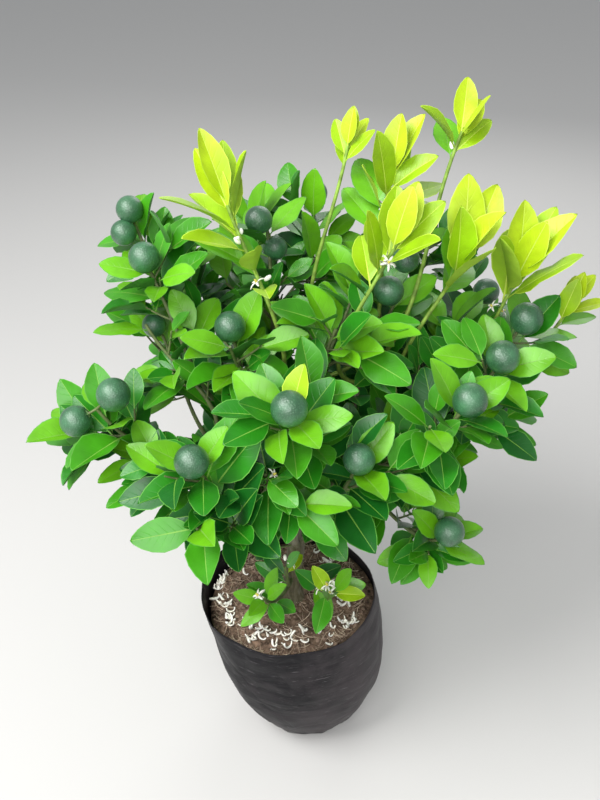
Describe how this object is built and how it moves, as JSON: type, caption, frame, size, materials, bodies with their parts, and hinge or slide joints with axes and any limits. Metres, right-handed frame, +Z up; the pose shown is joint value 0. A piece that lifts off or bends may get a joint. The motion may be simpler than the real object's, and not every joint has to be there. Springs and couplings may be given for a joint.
{
  "type": "potted limequat bush",
  "caption": "Young limequat bush in a black film nursery bag full of soil, with boughs, leafy shoots, round green fruit and yellow young growth.",
  "frame": {"origin": "middle of the nursery bag's flat underside, on the ground", "axes": "+Z up, +X to the right and +Y to the back of the view in which the fruit face the viewer, the bag's mouth leans to -X"},
  "size_m": [0.4401, 0.3436, 0.556],
  "materials": {
    "film": "satin",
    "soil": "matte",
    "bark": "matte",
    "leaf": "satin",
    "young_leaf": "satin",
    "fruit": "satin",
    "petal": "matte"
  },
  "bodies": {
    "root": {"bag": "film", "soil": "soil", "trunk": "bark", "bough_front": "bark", "branch_front_left": "bark", "branch_front_right": "bark", "bough_left": "bark", "branch_left_low": "bark", "branch_left_high": "bark", "bough_right": "bark", "branch_right_low": "bark", "branch_right_middle": "bark", "branch_right_high": "bark", "bough_top": "bark", "branch_top_left": "bark", "branch_top_right": "bark", "branch_top_middle": "bark", "bough_back": "bark", "branch_back_left": "bark", "branch_back_right": "bark", "shoot_left_front": "leaf", "shoot_left_skirt": "leaf", "shoot_front_low": "leaf", "shoot_front_middle": "leaf", "shoot_front_right": "leaf", "shoot_centre_low": "leaf", "shoot_left_tip": "leaf", "shoot_left_middle": "leaf", "shoot_left_shade": "leaf", "shoot_left_upper": "leaf", "shoot_left_rear": "leaf", "shoot_left_back_low": "leaf", "shoot_right_low": "leaf", "shoot_right_under": "leaf", "shoot_right_back_low": "leaf", "shoot_right_middle": "leaf", "shoot_right_upper": "leaf", "shoot_right_top": "leaf", "shoot_right_young": "young_leaf", "shoot_right_inner": "leaf", "shoot_right_edge": "young_leaf", "shoot_right_rear": "leaf", "shoot_upper_left": "leaf", "shoot_young_left": "young_leaf", "shoot_upper_rear": "leaf", "shoot_upper_right": "leaf", "shoot_young_middle": "young_leaf", "shoot_young_thin_right": "young_leaf", "shoot_young_tall": "young_leaf", "shoot_young_thin_left": "young_leaf", "shoot_middle": "leaf", "shoot_back_left": "leaf", "shoot_back_left_low": "leaf", "shoot_back_left_high": "leaf", "shoot_back_right": "leaf", "shoot_back_right_low": "leaf", "shoot_back_middle": "leaf", "shoot_foot_left": "leaf", "shoot_foot_front": "leaf", "shoot_foot_middle": "leaf"}
  },
  "joints": []
}
